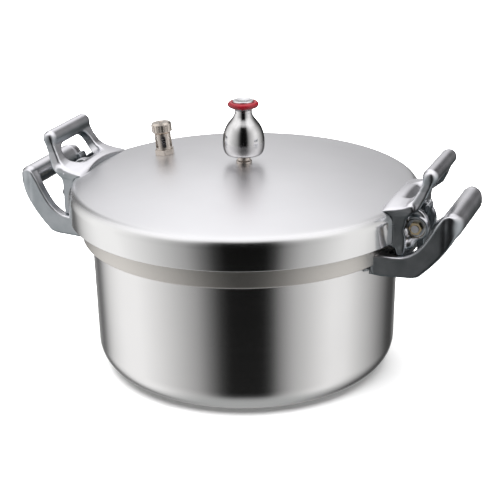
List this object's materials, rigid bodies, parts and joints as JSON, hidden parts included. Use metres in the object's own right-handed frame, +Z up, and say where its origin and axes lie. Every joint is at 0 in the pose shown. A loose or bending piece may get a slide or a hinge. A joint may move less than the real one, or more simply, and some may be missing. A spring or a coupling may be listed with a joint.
{
  "type": "pressure canner",
  "caption": "Cast aluminium pressure canner with a flat-domed lid, squeeze-lever clamps, loop handles, a lift-off vent weight, a spring safety valve and a jar rack.",
  "frame": {"origin": "middle of the base's flat underside", "axes": "+Z up; +X through the right handle, along the line of the two handles; the safety valve is on the -X side"},
  "size_m": [0.501, 0.376, 0.2896],
  "materials": {
    "pot_aluminium": "turned and polished",
    "lid_aluminium": "satin polished",
    "cast_aluminium": "tumbled casting, satin",
    "lever_aluminium": "as cast",
    "rivet_aluminium": "smooth",
    "rack_aluminium": "mill finish",
    "gasket_rubber": "moulded",
    "pin_steel": "turned",
    "spring_steel": "drawn wire",
    "nut_brass": "dull brass",
    "fitting_brass": "nickel-toned brass",
    "weight_chrome": "polished",
    "ring_plastic": "moulded, gloss"
  },
  "bodies": {
    "pot": {"pot_body": "pot_aluminium", "pot_handle_right": "cast_aluminium", "pot_handle_left": "cast_aluminium", "pot_handle_rivets": "rivet_aluminium"},
    "rack": {"jar_rack": "rack_aluminium"},
    "lid": {"lid_shell": "lid_aluminium", "lid_gasket": "gasket_rubber", "lid_handle_right": "cast_aluminium", "lid_handle_left": "cast_aluminium", "lid_handle_rivets": "rivet_aluminium", "lever_pin_right": "pin_steel", "lever_pin_left": "pin_steel", "lever_pin_nuts_right": "nut_brass", "lever_pin_nuts_left": "nut_brass", "lever_spring_right": "spring_steel", "lever_spring_left": "spring_steel", "steam_nozzle": "fitting_brass", "nozzle_washer": "gasket_rubber", "nozzle_nut": "fitting_brass", "valve_body": "fitting_brass", "valve_cap": "fitting_brass", "valve_spring": "spring_steel", "valve_washer": "gasket_rubber", "valve_nut": "fitting_brass"},
    "lever_right": {"clamp_lever_right": "lever_aluminium"},
    "lever_left": {"clamp_lever_left": "lever_aluminium"},
    "weight_carrier": {"weight_needle": "pin_steel"},
    "weight": {"weight_bell": "weight_chrome", "weight_knob": "weight_chrome", "weight_grip_ring": "ring_plastic"},
    "poppet": {"valve_poppet": "pin_steel"}
  },
  "joints": [
    {"name": "lid_lift", "type": "slide", "parent": "pot", "child": "lid", "axis": [0, 0, 1], "range_m": [0, 0.15]},
    {"name": "rack_lift", "type": "slide", "parent": "pot", "child": "rack", "axis": [0, 0, 1], "range_m": [0, 0.12]},
    {"name": "lever_right_squeeze", "type": "hinge", "parent": "lid", "child": "lever_right", "pos_m": [0.2005, 0, 0.184], "axis": [0, -1, 0], "range_deg": [0, 12], "stiffness_Nm_per_rad": 1.2, "springref_deg": -11.46},
    {"name": "lever_left_squeeze", "type": "hinge", "parent": "lid", "child": "lever_left", "pos_m": [-0.2005, 0, 0.184], "axis": [0, 1, 0], "range_deg": [0, 12], "stiffness_Nm_per_rad": 1.2, "springref_deg": -11.46},
    {"name": "weight_lift", "type": "slide", "parent": "lid", "child": "weight_carrier", "axis": [0, 0, 1], "range_m": [0, 0.04]},
    {"name": "weight_spin", "type": "hinge", "parent": "weight_carrier", "child": "weight", "pos_m": [0, 0, 0.25], "axis": [0, 0, 1], "continuous": true},
    {"name": "valve_pop", "type": "slide", "parent": "lid", "child": "poppet", "axis": [-0.1156, 0.0214, 0.9931], "range_m": [0, 0.0025], "stiffness_N_per_m": 1500, "springref_m": -0.0015, "deforming": ["valve_spring"]}
  ]
}
